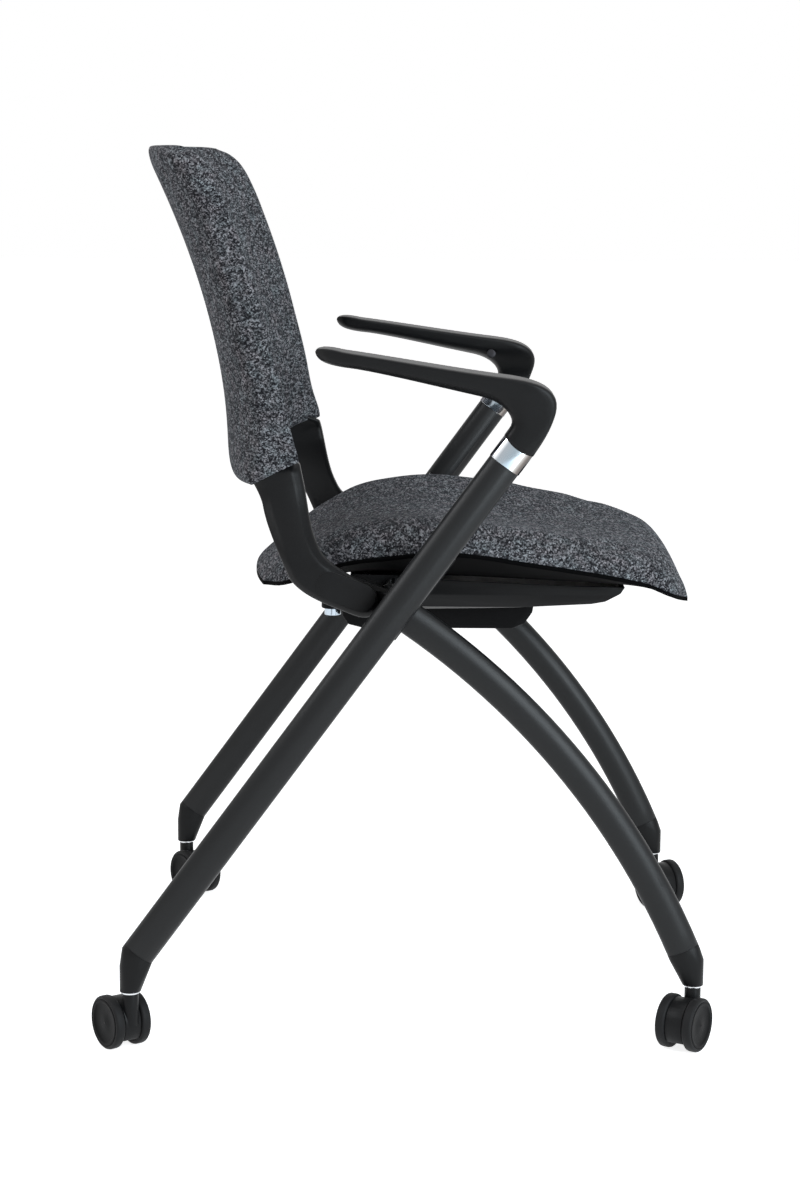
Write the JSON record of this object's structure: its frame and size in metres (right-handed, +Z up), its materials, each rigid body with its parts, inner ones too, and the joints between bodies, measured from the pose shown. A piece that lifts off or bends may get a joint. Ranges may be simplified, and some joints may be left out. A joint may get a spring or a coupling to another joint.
{
  "type": "nesting chair",
  "caption": "Nesting chair with a flip-up seat, padded back, armrests, straight rear legs, curved front legs and swivelling twin-wheel castors.",
  "frame": {"origin": "on the floor, in the chair's middle plane, halfway between the rear and front castor stems", "axes": "+X forward, +Y to the sitter's left, +Z up"},
  "size_m": [0.591, 0.5858, 0.822],
  "materials": {
    "black_powder_coat": "satin black powder coat",
    "black_plastic": "fine textured black moulding",
    "bright_chrome": "polished",
    "zinc_steel": "zinc plated",
    "bush_nylon": "smooth nylon",
    "castor_tread": "matt",
    "grey_fabric": "dark grey melange woven upholstery"
  },
  "bodies": {
    "frame": {"rear_leg_right": "black_powder_coat", "rear_leg_left": "black_powder_coat", "front_leg_right": "black_powder_coat", "front_leg_left": "black_powder_coat", "rear_foot_right": "black_plastic", "rear_foot_left": "black_plastic", "front_foot_right": "black_plastic", "front_foot_left": "black_plastic", "cross_beam": "black_powder_coat", "side_bracket_right": "black_powder_coat", "side_bracket_left": "black_powder_coat", "bracket_bolts": "zinc_steel", "arm_ring_right": "bright_chrome", "arm_ring_left": "bright_chrome", "armrest_right": "black_plastic", "armrest_left": "black_plastic", "arm_screws": "zinc_steel", "upright_right": "black_plastic", "upright_left": "black_plastic", "upright_cap_right": "black_plastic", "upright_cap_left": "black_plastic", "upright_bolts": "zinc_steel", "back_shell": "black_plastic", "back_pad": "grey_fabric", "back_cover": "grey_fabric", "caster_stem_rear_right": "bright_chrome", "caster_stem_rear_left": "bright_chrome", "caster_stem_front_right": "bright_chrome", "caster_stem_front_left": "bright_chrome"},
    "seat": {"seat_pad": "grey_fabric", "seat_shell": "black_plastic", "seat_tray": "black_plastic", "seat_bushes": "bush_nylon", "seat_screws": "zinc_steel", "mechanism_box": "black_plastic", "latch_sleeve": "bright_chrome"},
    "caster_rear_right": {"caster_body_rear_right": "black_plastic", "caster_axle_rear_right": "zinc_steel"},
    "wheel_outer_rear_right": {"wheel_outer_rear_right": "black_plastic", "tread_outer_rear_right": "castor_tread"},
    "wheel_inner_rear_right": {"wheel_inner_rear_right": "black_plastic", "tread_inner_rear_right": "castor_tread"},
    "caster_rear_left": {"caster_body_rear_left": "black_plastic", "caster_axle_rear_left": "zinc_steel"},
    "wheel_outer_rear_left": {"wheel_outer_rear_left": "black_plastic", "tread_outer_rear_left": "castor_tread"},
    "wheel_inner_rear_left": {"wheel_inner_rear_left": "black_plastic", "tread_inner_rear_left": "castor_tread"},
    "caster_front_right": {"caster_body_front_right": "black_plastic", "caster_axle_front_right": "zinc_steel"},
    "wheel_outer_front_right": {"wheel_outer_front_right": "black_plastic", "tread_outer_front_right": "castor_tread"},
    "wheel_inner_front_right": {"wheel_inner_front_right": "black_plastic", "tread_inner_front_right": "castor_tread"},
    "caster_front_left": {"caster_body_front_left": "black_plastic", "caster_axle_front_left": "zinc_steel"},
    "wheel_outer_front_left": {"wheel_outer_front_left": "black_plastic", "tread_outer_front_left": "castor_tread"},
    "wheel_inner_front_left": {"wheel_inner_front_left": "black_plastic", "tread_inner_front_left": "castor_tread"}
  },
  "joints": [
    {"name": "seat_flip", "type": "hinge", "parent": "frame", "child": "seat", "pos_m": [-0.02, 0, 0.409], "axis": [0, -1, 0], "range_deg": [0, 80]},
    {"name": "swivel_rear_right", "type": "hinge", "parent": "frame", "child": "caster_rear_right", "pos_m": [-0.259, -0.276, 0.045], "axis": [0, 0, 1], "continuous": true},
    {"name": "spin_outer_rear_right", "type": "hinge", "parent": "caster_rear_right", "child": "wheel_outer_rear_right", "pos_m": [-0.26943, -0.26195, 0.025], "axis": [-0.8028, -0.5962, 0], "continuous": true},
    {"name": "spin_inner_rear_right", "type": "hinge", "parent": "caster_rear_right", "child": "wheel_inner_rear_right", "pos_m": [-0.26943, -0.26195, 0.025], "axis": [-0.8028, -0.5962, 0], "continuous": true},
    {"name": "swivel_rear_left", "type": "hinge", "parent": "frame", "child": "caster_rear_left", "pos_m": [-0.259, 0.276, 0.045], "axis": [0, 0, 1], "continuous": true},
    {"name": "spin_outer_rear_left", "type": "hinge", "parent": "caster_rear_left", "child": "wheel_outer_rear_left", "pos_m": [-0.24811, 0.2623, 0.025], "axis": [0.7826, 0.6225, 0], "continuous": true},
    {"name": "spin_inner_rear_left", "type": "hinge", "parent": "caster_rear_left", "child": "wheel_inner_rear_left", "pos_m": [-0.24811, 0.2623, 0.025], "axis": [0.7826, 0.6225, 0], "continuous": true},
    {"name": "swivel_front_right", "type": "hinge", "parent": "frame", "child": "caster_front_right", "pos_m": [0.259, -0.241, 0.045], "axis": [0, 0, 1], "continuous": true},
    {"name": "spin_outer_front_right", "type": "hinge", "parent": "caster_front_right", "child": "wheel_outer_front_right", "pos_m": [0.24999, -0.256, 0.025], "axis": [0.8572, -0.515, 0], "continuous": true},
    {"name": "spin_inner_front_right", "type": "hinge", "parent": "caster_front_right", "child": "wheel_inner_front_right", "pos_m": [0.24999, -0.256, 0.025], "axis": [0.8572, -0.515, 0], "continuous": true},
    {"name": "swivel_front_left", "type": "hinge", "parent": "frame", "child": "caster_front_left", "pos_m": [0.259, 0.241, 0.045], "axis": [0, 0, 1], "continuous": true},
    {"name": "spin_outer_front_left", "type": "hinge", "parent": "caster_front_left", "child": "wheel_outer_front_left", "pos_m": [0.26653, 0.2252, 0.025], "axis": [0.9026, 0.4305, 0], "continuous": true},
    {"name": "spin_inner_front_left", "type": "hinge", "parent": "caster_front_left", "child": "wheel_inner_front_left", "pos_m": [0.26653, 0.2252, 0.025], "axis": [0.9026, 0.4305, 0], "continuous": true}
  ]
}
